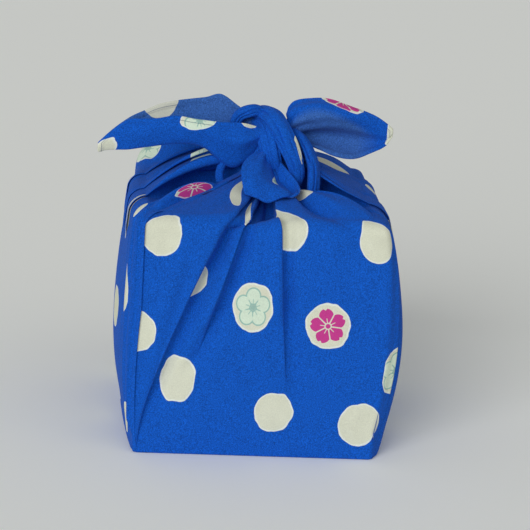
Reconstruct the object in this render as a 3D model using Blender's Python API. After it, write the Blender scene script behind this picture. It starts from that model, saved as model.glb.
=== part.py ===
"""Furoshiki wrap: one square of printed cotton, tied round a cube-shaped gift and knotted on top.

The cloth is one piece, so it is one solid. Its walls stand on a flat foot and carry the folds that run
up to the knot, its top rises as a tent of gathers, and the four corners of the square leave the knot as
a left ear, a right ear, a front tail and a back tail. The gift inside is left out: the walls are hollow.

Run it with: blender --background --python part.py
Metres, +Z up. The origin is the middle of the flat foot. The front, with the short tail, faces -Y.
"""

import math
from collections import namedtuple

import bpy
from mathutils import Vector

MM = 0.001

# The wrapped cube, over the cloth, in millimetres.
WIDTH = 120.0
DEPTH = 124.0
HEIGHT = 122.0
FOOT_ROUND = 1.5
SHOULDER_ROUND = 7.0
UPRIGHT_ROUND = 3.0
CALM_EDGE = 7.0

# The gathered neck that runs up into the knot.
NECK_HALF_WIDTH = 17.0
NECK_HALF_DEPTH = 14.0
NECK_LEAN = (3.0, -3.0)
PLUG_HEIGHT = 150.0
PLUG_SHARE = 0.6

# Cloth walls: how far the hollow stays inside the outside face, and the heights at which it is drawn.
WALL = 2.4
TENT_WALL = 2.64
HOLLOW_LEVELS = (0.021, 0.25, 0.5, 0.75, 0.945)
HOLLOW_WAYS = (0.0, 0.3, 0.62)
HOLLOW_END = (0.82, -2.5)
LEAF_THICKNESS = 2.0

# Each face, seen from outside: left corner, direction to the right, outward direction, length.
Face = namedtuple("Face", "name corner along outward length")
FACES = (
    Face("front", (-WIDTH / 2, -DEPTH / 2), (1, 0), (0, -1), WIDTH),
    Face("right", (WIDTH / 2, -DEPTH / 2), (0, 1), (1, 0), DEPTH),
    Face("back", (WIDTH / 2, DEPTH / 2), (-1, 0), (0, 1), WIDTH),
    Face("left", (-WIDTH / 2, DEPTH / 2), (0, -1), (-1, 0), DEPTH),
)
# How far the loose cloth of each face puffs out and where along the face it is fullest. foot and shoulder
# are the shares of it that are left at the bottom and at the top.
Puff = namedtuple("Puff", "depth place foot shoulder")
PUFFS = {
    "front": Puff(1.5, 0.55, 0.0, 0.2),
    "right": Puff(12.0, 0.30, 0.25, 0.05),
    "back": Puff(3.0, 0.45, 0.0, 0.3),
    "left": Puff(12.4, 0.50, 0.36, 0.50),
}

# The pull of each upright corner, out of the plain box and up, and the height shares it lies between.
# The first is the left corner of the front, and the others follow it round.
Pull = namedtuple("Pull", "x y lift low high")
PULLS = (
    Pull(-1.5, 0.0, 0.0, 0.05, 0.6),
    Pull(4.2, 0.0, 0.0, 0.12, 0.95),
    Pull(1.5, 1.5, 0.0, 0.1, 0.9),
    Pull(-4.0, 1.0, 8.0, 0.1, 1.1),
)
PULL_REACH = 9.0
LIFT_REACH = 13.0

# Fold lines of each face, from its left corner to its right one, seen from outside. foot and shoulder
# are millimetres along the face; bend bows the line; rise and drop are how far the cloth stands out
# left of the line and sinks right of it; start is the height share where that begins; mid and neck are
# the heights over the shoulder halfway to the neck and at it; columns is the mesh columns up to the
# next line.
Line = namedtuple("Line", "foot shoulder bend rise drop start mid neck columns")
LINES = {
    "front": (
        Line(0, 0, 1, 0.0, 0.0, 0.0, 2.4, 9.0, 1),
        Line(2.2, 3, 1, 0.0, 0.0, 0.0, 2.1, 9.0, 3),
        Line(2.5, 22, 1.4, 0.0, 0.0, 0.0, 3.4, 9.0, 3),
        Line(3, 42.6, 1.5, 2.2, 1.5, 0.0, 4.6, 12.0, 1),
        Line(5, 44.6, 1.5, 0.0, 0.0, 0.0, 2.0, 10.5, 2),
        Line(15, 50.6, 1, 1.0, 0.9, 0.3, 3.6, 12.0, 1),
        Line(18, 53, 1, 0.0, 0.0, 0.0, 0.0, 8.0, 2),
        Line(50, 59, 1, 0.0, 0.0, 0.0, -1.0, 7.0, 2),
        Line(82, 67.5, 0.6, 1.2, 1.2, 0.2, 0.3, 9.0, 1),
        Line(84.5, 70, 0.6, 0.0, 0.0, 0.0, 3.6, 11.5, 2),
        Line(96, 86, 1, 0.0, 0.0, 0.0, 5.0, 10.0, 2),
        Line(104, 100, 1, 0.0, 0.0, 0.0, 1.8, 4.0, 2),
        Line(114, 111, 1, 0.0, 0.0, 0.0, 7.2, 3.0, 2),
    ),
    "right": (
        Line(0, 0, 1, 0.0, 0.0, 0.0, 7.2, 0.0, 2),
        Line(8, 10, 1, 1.0, 1.6, 0.0, 0.5, 0.0, 2),
        Line(16, 20, 1, 0.0, 0.0, 0.0, -0.5, 1.0, 2),
        Line(32, 36, 1, 0.0, 0.0, 0.0, 7.6, 16.5, 2),
        Line(52, 52, 1, 1.5, 0.8, 0.2, 9.6, 18.5, 2),
        Line(84, 76, 1, 0.0, 0.0, 0.0, 9.0, 16.0, 2),
        Line(112, 100, 1.1, 1.2, 1.4, 0.1, 10.0, 18.0, 3),
    ),
    "back": (
        Line(0, 0, 1, 0.0, 0.0, 0.0, 13.0, 20.0, 3),
        Line(10, 14, 1, 0.0, 0.0, 0.0, 3.0, 9.0, 3),
        Line(30, 38, 1, 1.2, 1.0, 0.3, 8.0, 15.0, 2),
        Line(62, 56, 1, 0.0, 0.0, 0.0, 4.0, 9.0, 2),
        Line(117, 76, 1.35, 1.3, 2.6, 0.0, 8.0, 15.0, 1),
        Line(118, 80, 1.35, 0.0, 0.0, 0.0, 6.0, 13.0, 2),
        Line(119, 102, 1.2, 0.0, 0.0, 0.0, 4.0, 11.0, 3),
    ),
    "left": (
        Line(0, 0, 1, 0.0, 0.0, 0.0, 20.0, 22.0, 2),
        Line(12, 16, 1, 0.0, 0.0, 0.0, 9.0, 13.0, 2),
        Line(36, 40, 1, 1.0, 0.8, 0.4, 17.8, 21.0, 2),
        Line(52, 54, 1, 0.0, 0.0, 0.0, 7.0, 11.0, 2),
        Line(68, 70, 1, 1.0, 0.8, 0.4, 17.5, 24.0, 2),
        Line(80, 80, 1, 0.0, 0.0, 0.0, 6.0, 11.0, 2),
        Line(94, 93, 1, 1.2, 1.2, 0.2, 17.0, 19.0, 1),
        Line(98, 97, 1, 0.0, 0.0, 0.0, 4.0, 7.0, 1),
        Line(104, 105, 1, 0.0, 0.0, 0.0, -1.0, 3.0, 1),
        Line(113, 115, 1, 1.5, 1.5, 0.0, 8.8, 2.0, 2),
        Line(120, 121.5, 1, 0.0, 0.0, 0.0, 0.5, 2.0, 1),
    ),
}
RISE_REACH = 13.0
DROP_REACH = 7.0
WALL_ROWS = (0.012, 0.1, 0.2, 0.31, 0.42, 0.53, 0.64, 0.75, 0.85, 0.945)
ROUND_STEPS = 3
TOP_ROWS = (0.13, 0.26, 0.38, 0.5, 0.62, 0.74, 0.86, 1.0)

# The knot. A section of a band is its middle, its half width and its half thickness.
Section = namedtuple("Section", "x y z half_width half_thick")
KNOT_CORE = Vector((6, -3, 143))
BANDS = {
    # Over the top and down the front, from upper left to lower right.
    "slanting_band": (
        Section(-4, 9, 150, 5.0, 3.5),
        Section(-3, 4, 160, 5.6, 3.6),
        Section(0, -5, 162.5, 6.4, 3.6),
        Section(6, -13, 155, 6.8, 3.4),
        Section(13, -16, 143, 6.4, 3.4),
        Section(18, -14.5, 131, 4.8, 3.2),
        Section(15, -7, 124, 4.0, 3.0),
    ),
    # Down the front on the left of it.
    "inner_band": (
        Section(-6, 2, 156, 4.6, 3.0),
        Section(-4, -8, 155, 4.8, 3.2),
        Section(0, -13, 146, 4.8, 3.4),
        Section(4, -13, 136, 4.4, 3.4),
        Section(7, -8, 127, 4.0, 3.0),
    ),
    # The bump that crosses the top from left to right behind them.
    "top_band": (
        Section(-13, -1, 150, 4.0, 3.4),
        Section(-9, 0, 160, 5.2, 3.6),
        Section(-2, 4, 163, 5.4, 3.6),
        Section(8, 6, 161, 5.2, 3.6),
        Section(17, 4, 152, 4.6, 3.4),
        Section(19, 0, 142, 4.0, 3.0),
    ),
    # Down the right side into the gathers.
    "side_band": (
        Section(14, 3, 153, 4.4, 3.0),
        Section(20, -5, 151, 5.0, 3.2),
        Section(25, -12, 141, 5.0, 3.4),
        Section(27, -16, 131, 4.8, 3.2),
        Section(24, -15, 123, 4.4, 3.0),
    ),
    # Round the back, low.
    "back_band": (
        Section(-12, -2, 141, 4.4, 3.2),
        Section(-8, 8, 146, 5.4, 3.6),
        Section(2, 14, 146, 5.8, 3.6),
        Section(13, 11, 142, 5.4, 3.6),
        Section(20, 1, 138, 4.4, 3.2),
    ),
    # Left of the neck, from the ear's root down to the front gathers.
    "neck_roll": (
        Section(-9, -6, 146, 4.0, 3.0),
        Section(-18, -9, 141, 3.8, 2.8),
        Section(-22, -12, 133, 3.6, 2.8),
        Section(-19, -16, 125, 3.4, 2.6),
    ),
}
BAND_SIDES = 10
BAND_STEPS = 3
BAND_RIDGES = 5
BAND_RIDGE_SHARE = 0.07
CORE_RADII = (17.0, 12.0, 17.0)
CORE_RINGS = 8
CORE_SIDES = 16

# Ears and tails. A row is one cut across the cloth, from where it leaves the knot to its tip. Its columns
# are (x, y, z) points, from one hem to the other.
EarCut = namedtuple("EarCut", "near_hem near_side fold far_side far_hem")
CuppedCut = namedtuple("CuppedCut", "left_hem left_side left_fold middle right_fold right_side right_hem")
TailCut = namedtuple("TailCut", "left_hem middle right_hem")
LEFT_EAR = (
    EarCut((-4, -9, 153), (-5, -11, 147), (-4, -8, 142), (-3, -4, 146), (-3, -1, 152)),
    EarCut((-10, -13, 158), (-12, -14, 146), (-13, -9, 135), (-13, -2, 145), (-12, 3, 162)),
    EarCut((-21, -14, 158), (-21, -14, 146), (-20, -9, 136), (-22, -1, 150), (-22, 4, 169)),
    EarCut((-31, -14, 159), (-31, -14, 150), (-32, -9, 144.5), (-31, -1, 152), (-31, 3, 166.5)),
    EarCut((-45, -13, 160), (-45, -13.5, 152), (-44, -9, 145.5), (-44, -3, 152), (-45, 0, 165)),
    EarCut((-58, -12, 158), (-58, -12.5, 151), (-57, -9, 144), (-57, -3, 148), (-58, -2, 161)),
    EarCut((-65, -11.5, 158), (-65, -12, 150), (-65, -10.5, 143), (-65, -7, 145), (-64, -5, 158)),
    EarCut((-75, -11, 153), (-75, -11.5, 147.5), (-75, -11, 142.5), (-75, -8, 141), (-75, -5, 144.5)),
    EarCut((-83, -11, 145.5), (-83, -11.2, 143.5), (-83, -11, 141.5), (-83, -9.5, 140.3), (-83, -7.5, 140)),
)
RIGHT_EAR = (
    EarCut((12, 4, 161), (12, -1, 158), (13, -2, 152), (14, 1, 148), (15, 4, 145)),
    EarCut((16, 5, 167), (16, -3, 162), (18, -2, 155), (19, 5, 149.5), (22, 0, 146)),
    EarCut((26, 5, 169), (25, -5, 165), (26, -3, 157), (28, 6, 150.5), (29, -2, 145)),
    EarCut((35, 4, 168.5), (35, -4, 165), (35, -3, 158), (36, 6, 150.5), (37, -3, 142)),
    EarCut((46, 2, 165), (46, -3, 163), (46, -1, 156.5), (46, 4, 149.5), (46, -3, 141.5)),
    EarCut((56, 0, 162.5), (56, -1, 159.5), (56, 0, 154.5), (56, 2, 149.5), (55, -2, 145.5)),
    EarCut((63, -1, 158.5), (63, -1.2, 157), (63, -1, 154.5), (63, -1, 152), (62, -2, 150)),
    EarCut((65.5, -2, 156.5), (65.5, -2, 156), (65.5, -2, 155), (65.5, -2, 154), (65, -2, 153)),
)
FRONT_TAIL = (
    CuppedCut(
        (-7, -10, 147), (-4, -12, 148), (0, -12, 147), (4, -9, 145),
        (8, -7, 146), (10, -10, 149), (6, -13, 149),
    ),
    CuppedCut(
        (-9, -22, 141), (-6, -25, 141), (-1, -25, 140), (4, -22, 138),
        (9, -20, 139), (11, -23, 142), (7, -26, 143),
    ),
    CuppedCut(
        (-11, -30, 135), (-6, -33, 135), (-1, -33, 134), (4, -30, 132),
        (12, -27, 133), (15, -30, 137), (10, -34, 138),
    ),
    CuppedCut(
        (-9, -34, 130), (-5, -37, 130), (0, -38, 128), (6, -35, 127),
        (14, -31, 129), (17, -34, 133), (13, -38, 133),
    ),
    CuppedCut(
        (-7, -37, 126), (-3, -39, 126), (2, -41, 125), (8, -39, 125),
        (15, -35, 127), (18, -37, 130), (15, -40, 131),
    ),
)
BACK_TAIL = (
    TailCut((-2, 10, 147), (3, 12, 149), (8, 10, 147)),
    TailCut((-8, 18, 146), (3, 20, 149), (13, 17, 145)),
    TailCut((-12, 28, 141), (2, 30, 144), (16, 27, 140)),
    TailCut((-9, 38, 135), (2, 39, 138), (13, 37, 135)),
    TailCut((-3, 46, 131), (2, 47, 132), (7, 45, 131)),
    TailCut((1, 50, 129), (2, 50, 129.2), (3, 50, 129)),
)
LEAF_ROWS = 2
LEAF_COLUMNS = 3

# Slits where the hems of neighbouring gathers lie together: they lead into the hollow.
SLIT_WIDTH = 3.0
SLIT_LENGTH = 12.0
SLIT_DEPTH = 12.0
SLIT_MIDDLES = ((34.0, -18.0), (-33.0, -24.0))


def smooth(share):
    """0 to 1 with flat ends."""
    share = min(1.0, max(0.0, share))
    return share * share * (3 - 2 * share)


def spline(points, share):
    """A point on the smooth curve through the points, at a share of 0 to 1 of the way."""
    last = len(points) - 1
    place = share * last
    i = min(int(place), last - 1)
    t = place - i
    before, after = points[max(i - 1, 0)], points[min(i + 2, last)]
    here, there = points[i], points[i + 1]
    return 0.5 * (
        2 * here
        + (there - before) * t
        + (2 * before - 5 * here + 4 * there - after) * t * t
        + (3 * here - before - 3 * there + after) * t * t * t
    )


def line_place(line, level):
    """Millimetres along the face of a fold line at a height share of 0 to 1."""
    return line.foot + (line.shoulder - line.foot) * level**line.bend


def wall_relief(face, along, level):
    """How far the cloth stands out of the plain wall at that place."""
    puff = PUFFS[face.name]
    share = min(1.0, max(0.0, along / face.length))
    shape = share ** (math.log(0.5) / math.log(puff.place))
    swell = math.sin(math.pi * shape) ** 0.6 if 0 < share < 1 else 0.0
    upright = math.sin(math.pi * level**0.8) ** 0.8 if 0 < level < 1 else 0.0
    ends = max(puff.foot * (1 - smooth(6 * level)), puff.shoulder * smooth(2 * level - 0.5))
    out = puff.depth * swell * (upright + (1 - upright) * ends)
    for line in LINES[face.name]:
        if not (line.rise or line.drop) or level <= line.start:
            continue
        grown = smooth(3 * (level - line.start) / (1 - line.start) + 0.15)
        away = along - line_place(line, level)
        if away <= 0:
            out += grown * line.rise * math.exp(away / RISE_REACH)
        else:
            out -= grown * line.drop * math.exp(-away / DROP_REACH)
    return out


def nearest_pull(face, along):
    """The pull of the upright corner that is nearer."""
    return PULLS[(FACES.index(face) + (0 if along < face.length / 2 else 1)) % 4]


def corner_pull(face, along, level):
    """How far the nearer upright corner is pulled out of the plain box there."""
    pull = nearest_pull(face, along)
    if not pull.low < level < pull.high:
        return Vector((0, 0))
    if pull.high > 1:
        strength = smooth((level - pull.low) / 0.3)
    else:
        strength = math.sin(math.pi * (level - pull.low) / (pull.high - pull.low)) ** 0.8
    edge = min(along, face.length - along)
    return Vector((pull.x, pull.y)) * strength * math.exp(-((edge / PULL_REACH) ** 2))


def corner_lift(face, along):
    """How far the top of the wall stands higher near an upright corner."""
    edge = min(along, face.length - along)
    return nearest_pull(face, along).lift * math.exp(-((edge / LIFT_REACH) ** 2))


def wall_point(face, along, level, inside=0.0):
    """A point of a wall, with the upright edges a little rounded."""
    foot = FOOT_ROUND * max(0.0, 1 - level * HEIGHT / FOOT_ROUND) if level < 0.05 else 0.0
    edge = min(along, face.length - along)
    turn = math.pi / 4 * max(0.0, 1 - edge / UPRIGHT_ROUND)
    shift = UPRIGHT_ROUND * (1 - math.sin(turn)) - edge if turn > 0 else 0.0
    place = along + (foot + inside) * (1 - 2 * along / face.length)
    place += shift if along < face.length / 2 else -shift
    out = smooth(edge / CALM_EDGE) * wall_relief(face, place, level)
    out -= UPRIGHT_ROUND * (1 - math.cos(turn)) + foot + inside
    corner, run, outward = Vector(face.corner), Vector(face.along), Vector(face.outward)
    plan = corner + run * place + outward * out + corner_pull(face, along, level)
    return Vector((plan.x, plan.y, level * HEIGHT))


def neck_point(face_index, share):
    """A point of the neck's outline, and the same share of the face that it stands over."""
    angle = math.radians(-135 + 90 * (face_index + share))
    return Vector(
        (
            NECK_LEAN[0] + NECK_HALF_WIDTH * math.cos(angle),
            NECK_LEAN[1] + NECK_HALF_DEPTH * math.sin(angle),
        )
    )


Column = namedtuple("Column", "face index line next share")


def columns_of(index):
    """The mesh columns of one face, each at a share of the way from one fold line to the next."""
    face = FACES[index]
    lines = LINES[face.name]
    following = LINES[FACES[(index + 1) % 4].name][0]
    corner = following._replace(foot=face.length, shoulder=face.length)
    for line, beyond in zip(lines, (*lines[1:], corner)):
        for step in range(line.columns):
            yield Column(face, index, line, beyond, step / line.columns)


def between(low, high, share):
    """From one height to the next: round over the higher one and sharp in the lower one."""
    if high >= low:
        return low + (high - low) * math.sin(math.pi / 2 * share)
    return high + (low - high) * math.sin(math.pi / 2 * (1 - share))


def gather_height(column, way):
    """Height over the shoulder, at a share of the way from the shoulder to the neck."""
    mid = between(column.line.mid, column.next.mid, column.share)
    neck = between(column.line.neck, column.next.neck, column.share)
    return way * (4 * mid - neck) + way * way * (2 * neck - 4 * mid)


def place_on(column, level):
    """Millimetres along the face of a mesh column at a height share of 0 to 1."""
    start, end = line_place(column.line, level), line_place(column.next, level)
    return start + (end - start) * column.share


def shoulder_points(column):
    """The rounded turn from a wall to the top. The last point is the rim of the tent."""
    face, along = column.face, place_on(column, 1)
    outward, run = Vector((*face.outward, 0)), Vector((*face.along, 0))
    shoulder = wall_point(face, along, 1)
    under = WALL_ROWS[-1] * HEIGHT
    points = []
    for step in range(1, ROUND_STEPS + 1):
        angle = math.pi / 2 * step / ROUND_STEPS
        inward = SHOULDER_ROUND * (1 - math.cos(angle))
        point = shoulder - outward * inward + run * inward * (1 - 2 * along / face.length)
        height = under + (HEIGHT + corner_lift(face, along) - under) * math.sin(angle)
        points.append(Vector((point.x, point.y, height)))
    return points


def tent_point(column, way, under=0.0):
    """A point of the tent, at a share of the way from the rim to the neck."""
    rim = shoulder_points(column)[-1].xy
    along = place_on(column, 1)
    plan = rim.lerp(neck_point(column.index, along / column.face.length), way)
    lift = corner_lift(column.face, along) * (1 - way) ** 2
    return Vector((*plan, HEIGHT + lift + gather_height(column, way) - under))


def column_points(column):
    """The points of one mesh column, from the foot up to the neck and into the knot."""
    points = [wall_point(column.face, place_on(column, level), level) for level in (0.0, *WALL_ROWS)]
    points += shoulder_points(column)
    points += [tent_point(column, way) for way in TOP_ROWS]
    plug = Vector(NECK_LEAN).lerp(points[-1].xy, PLUG_SHARE)
    points.append(Vector((*plug, PLUG_HEIGHT)))
    return points


def closed_mesh(name, rings):
    """A closed mesh from rings of equally many points, with both ends filled."""
    count = len(rings[0])
    points = [point * MM for ring in rings for point in ring]
    faces = []
    for r in range(len(rings) - 1):
        for c in range(count):
            a, b = r * count + c, r * count + (c + 1) % count
            faces += [(a, b, b + count), (a, b + count, a + count)]
    last = (len(rings) - 1) * count
    faces.append(tuple(range(count - 1, -1, -1)))
    faces.append(tuple(range(last, last + count)))
    mesh = bpy.data.meshes.new(name)
    mesh.from_pydata(points, [], faces)
    mesh.update()
    return mesh


def placed(name, mesh, helper=False):
    """An object of that mesh in the scene. A helper is a shape that a Boolean uses, and no piece."""
    made = bpy.data.objects.new(name, mesh)
    bpy.context.scene.collection.objects.link(made)
    made.hide_render = helper
    if helper:
        made.display_type = "WIRE"
    return made


def all_columns():
    return [column for index in range(4) for column in columns_of(index)]


def wrapped_body():
    """The cloth from the foot to the neck, as one closed form."""
    columns = [column_points(column) for column in all_columns()]
    rings = [[points[r] for points in columns] for r in range(len(columns[0]))]
    return closed_mesh("body", rings)


def cavity():
    """The hollow that the gift takes up. It follows the folds, but stays low beside each steep one."""
    columns = all_columns()
    rings = []
    for level in HOLLOW_LEVELS:
        rings.append([wall_point(column.face, place_on(column, level), level, WALL) for column in columns])
    for way in HOLLOW_WAYS:
        tent = [tent_point(column, way, TENT_WALL) for column in columns]
        beyond = tent[1:] + tent[:1]
        before = tent[-1:] + tent[:-1]
        lowest = [min(trio, key=lambda point: point.z).z for trio in zip(before, tent, beyond)]
        rings.append([Vector((*point.xy, height)) for point, height in zip(tent, lowest)])
    way, drop = HOLLOW_END
    rings.append([Vector((*tent_point(column, way).xy, HEIGHT + drop)) for column in columns])
    return closed_mesh("cavity", rings)


def slit(middle):
    """A narrow pointed cutter that runs toward the neck."""
    toward = (Vector(NECK_LEAN) - Vector(middle)).normalized()
    side = Vector((-toward.y, toward.x)) * SLIT_WIDTH / 2
    run = toward * SLIT_LENGTH / 2
    centre = Vector(middle)
    corners = (centre - run, centre - run / 3 + side, centre + run / 3 + side)
    corners += (centre + run, centre + run / 3 - side, centre - run / 3 - side)
    rings = []
    for height in (HEIGHT - SLIT_DEPTH, HEIGHT + SLIT_DEPTH):
        rings.append([Vector((*corner, height)) for corner in reversed(corners)])
    return closed_mesh("slit", rings)


def band(name, sections):
    """One turn of the knot: a flat, lengthwise ridged band that faces away from the knot's middle."""
    middles = [Vector((s.x, s.y, s.z)) for s in sections]
    sizes = [Vector((s.half_width, s.half_thick, 0)) for s in sections]
    steps = (len(sections) - 1) * BAND_STEPS
    rings = []
    for step in range(steps + 1):
        share = step / steps
        middle = spline(middles, share)
        forward = spline(middles, min(1, share + 0.02)) - spline(middles, max(0, share - 0.02))
        forward.normalize()
        outward = middle - KNOT_CORE
        outward = (outward - forward * outward.dot(forward)).normalized()
        side = outward.cross(forward)
        size = spline(sizes, share)
        ring = []
        for k in range(BAND_SIDES):
            angle = 2 * math.pi * k / BAND_SIDES
            swell = 1 + BAND_RIDGE_SHARE * math.cos(BAND_RIDGES * angle)
            across = side * size.x * math.cos(angle) + outward * size.y * math.sin(angle)
            ring.append(middle + across * swell)
        rings.append(ring)
    return closed_mesh(name, rings)


def knot_core():
    """What the bands are pulled tight on."""
    rings = []
    for r in range(1, CORE_RINGS):
        tilt = math.pi * (r / CORE_RINGS - 0.5)
        ring = []
        for k in range(CORE_SIDES):
            turn = 2 * math.pi * k / CORE_SIDES
            level = math.cos(tilt)
            offset = Vector((math.cos(turn) * level, math.sin(turn) * level, math.sin(tilt)))
            ring.append(KNOT_CORE + Vector(a * b for a, b in zip(offset, CORE_RADII)))
        rings.append(ring)
    return closed_mesh("core", rings)


def leaf(name, rows):
    """A thick sheet through the rows of points: an ear or a tail."""
    curves = [[Vector(point) for point in row] for row in rows]
    wide = (len(curves[0]) - 1) * LEAF_COLUMNS
    long = (len(curves) - 1) * LEAF_ROWS
    across = [[spline(curve, c / wide) for c in range(wide + 1)] for curve in curves]
    grid = []
    for r in range(long + 1):
        grid.append([spline([row[c] for row in across], r / long) for c in range(wide + 1)])
    front, back = [], []
    for r in range(long + 1):
        for c in range(wide + 1):
            down = grid[min(r + 1, long)][c] - grid[max(r - 1, 0)][c]
            over = grid[r][min(c + 1, wide)] - grid[r][max(c - 1, 0)]
            normal = down.cross(over).normalized() * LEAF_THICKNESS / 2
            front.append(grid[r][c] + normal)
            back.append(grid[r][c] - normal)
    count = len(front)
    faces = []
    for r in range(long):
        for c in range(wide):
            a = r * (wide + 1) + c
            b, d = a + 1, a + wide + 1
            faces += [(a, d, d + 1), (a, d + 1, b)]
            faces += [(a + count, d + 1 + count, d + count), (a + count, b + count, d + 1 + count)]
    rim = [c for c in range(wide)]
    rim += [r * (wide + 1) + wide for r in range(long)]
    rim += [long * (wide + 1) + wide - c for c in range(wide)]
    rim += [(long - r) * (wide + 1) for r in range(long)]
    for here, there in zip(rim, (*rim[1:], rim[0])):
        faces += [(here, there, there + count), (here, there + count, here + count)]
    mesh = bpy.data.meshes.new(name)
    mesh.from_pydata([point * MM for point in front + back], [], faces)
    mesh.update()
    return mesh


def cotton():
    """Plain colour for the blue ground of the print."""
    material = bpy.data.materials.new("blue_cotton")
    material.use_nodes = True
    shader = material.node_tree.nodes["Principled BSDF"]
    shader.inputs["Base Color"].default_value = (0.012, 0.075, 0.47, 1)
    shader.inputs["Roughness"].default_value = 0.85
    shader.inputs["Metallic"].default_value = 0.0
    return material


def boolean(target, operation, mesh):
    """Adds or cuts a shape."""
    helper = placed(f"{mesh.name}_shape", mesh, helper=True)
    modifier = target.modifiers.new(f"{operation.lower()}_{mesh.name}", "BOOLEAN")
    modifier.operation = operation
    modifier.solver = "EXACT"
    modifier.object = helper


def build():
    for old in list(bpy.data.objects):
        bpy.data.objects.remove(old)
    cloth = placed("furoshiki_cloth", wrapped_body())
    cloth.data.materials.append(cotton())
    boolean(cloth, "DIFFERENCE", cavity())
    for middle in SLIT_MIDDLES:
        boolean(cloth, "DIFFERENCE", slit(middle))
    boolean(cloth, "UNION", knot_core())
    for name, sections in BANDS.items():
        boolean(cloth, "UNION", band(name, sections))
    leaves = {
        "left_ear": LEFT_EAR,
        "right_ear": RIGHT_EAR,
        "front_tail": FRONT_TAIL,
        "back_tail": BACK_TAIL,
    }
    for name, rows in leaves.items():
        boolean(cloth, "UNION", leaf(name, rows))


build()
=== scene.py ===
import math
from collections import namedtuple

import bpy
import numpy as np
from mathutils import Matrix, Vector, noise


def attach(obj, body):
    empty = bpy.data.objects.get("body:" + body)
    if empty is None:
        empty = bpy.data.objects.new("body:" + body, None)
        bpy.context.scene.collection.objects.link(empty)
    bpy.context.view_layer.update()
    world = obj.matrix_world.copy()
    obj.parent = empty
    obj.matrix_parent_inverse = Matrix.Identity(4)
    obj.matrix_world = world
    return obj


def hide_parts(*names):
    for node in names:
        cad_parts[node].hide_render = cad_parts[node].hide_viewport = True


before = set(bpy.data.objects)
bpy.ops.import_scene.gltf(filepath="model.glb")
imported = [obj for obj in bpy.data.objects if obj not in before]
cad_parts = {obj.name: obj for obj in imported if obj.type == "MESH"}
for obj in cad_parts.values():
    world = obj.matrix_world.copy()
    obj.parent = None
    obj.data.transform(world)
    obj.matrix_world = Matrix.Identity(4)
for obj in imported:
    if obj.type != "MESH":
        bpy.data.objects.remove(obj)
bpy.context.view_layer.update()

# ---- The cloth round the cube ------------------------------------------------------------------
# A square of plain-woven cotton, printed blue with ivory dots left bare. It stands on its flat foot
# and hugs a cube that isn't there to see. Nothing is sewn: the four corners are drawn up the walls
# in lapped folds and gathered over the top into a neck.

MM = 0.001
WIDTH = 120.0
DEPTH = 124.0
HEIGHT = 122.0
FOOT_ROUND = 1.0
SHOULDER_ROUND = 7.0
UPRIGHT_ROUND = 2.2
UNDER_TURN = 0.945
NECK_HALF_WIDTH = 17.0
NECK_HALF_DEPTH = 14.0
NECK_LEAN = Vector((3.0, -3.0))
NECK_TOP = 150.0
TURN_RUN = 4.0
CALM_FOOT = 6
CALM_EDGE = 7.0
SWAY = 3.0
TURN_FLAT = 10
TENT_RUN = 50.0
NECK_FLAT = 20
RISE_REACH = 13.0
DROP_REACH = 9.0
HOLLOW_START = 2.0
STEP_SHARE = 0.35
FOLD_FAR = 45

Face = namedtuple("Face", "name corner along outward length start")
FACES = (
    Face("front", (-WIDTH / 2, -DEPTH / 2), (1, 0), (0, -1), WIDTH, 0),
    Face("right", (WIDTH / 2, -DEPTH / 2), (0, 1), (1, 0), DEPTH, WIDTH),
    Face("back", (WIDTH / 2, DEPTH / 2), (-1, 0), (0, 1), WIDTH, WIDTH + DEPTH),
    Face("left", (-WIDTH / 2, DEPTH / 2), (0, -1), (-1, 0), DEPTH, 2 * WIDTH + DEPTH),
)
ROUND = 2 * (WIDTH + DEPTH)
# How far the loose cloth of each face puffs out and where along the face it is fullest. foot and shoulder
# are the shares of it that are left at the bottom and at the top.
Puff = namedtuple("Puff", "depth place foot shoulder")
PUFFS = {
    "front": Puff(1.5, 0.55, 0.0, 0.2),
    "right": Puff(14.0, 0.27, 0.22, 0.05),
    "back": Puff(3.0, 0.45, 0.0, 0.3),
    "left": Puff(12.4, 0.50, 0.36, 0.50),
}

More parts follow.
